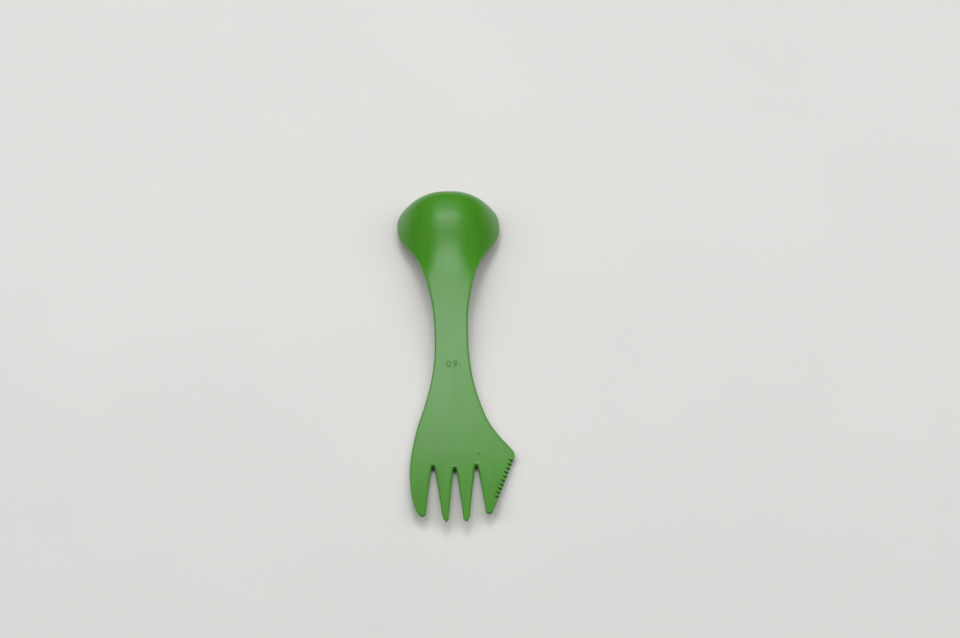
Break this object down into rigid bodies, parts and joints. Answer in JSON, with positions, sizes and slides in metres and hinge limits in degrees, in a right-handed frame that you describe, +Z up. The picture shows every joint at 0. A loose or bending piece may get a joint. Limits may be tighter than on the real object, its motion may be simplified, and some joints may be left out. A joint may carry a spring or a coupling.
{
  "type": "camping spork",
  "caption": "Green moulded plastic camping spork: spoon bowl at one end, four-tined fork with a serrated side at the other.",
  "frame": {"origin": "centre of the bounding box in plan, at the ground it lies on", "axes": "+Y along the utensil from the tine tips to the tip of the spoon bowl, +Z up out of the convex back, +X toward the serrated side"},
  "size_m": [0.0402, 0.17, 0.0157],
  "materials": {
    "plastic": "satin moulded"
  },
  "bodies": {
    "root": {"spoon_bowl": "plastic", "handle": "plastic", "fork_palm": "plastic", "outer_tine": "plastic", "inner_tine_left": "plastic", "inner_tine_right": "plastic", "cutting_tine": "plastic"}
  },
  "joints": []
}
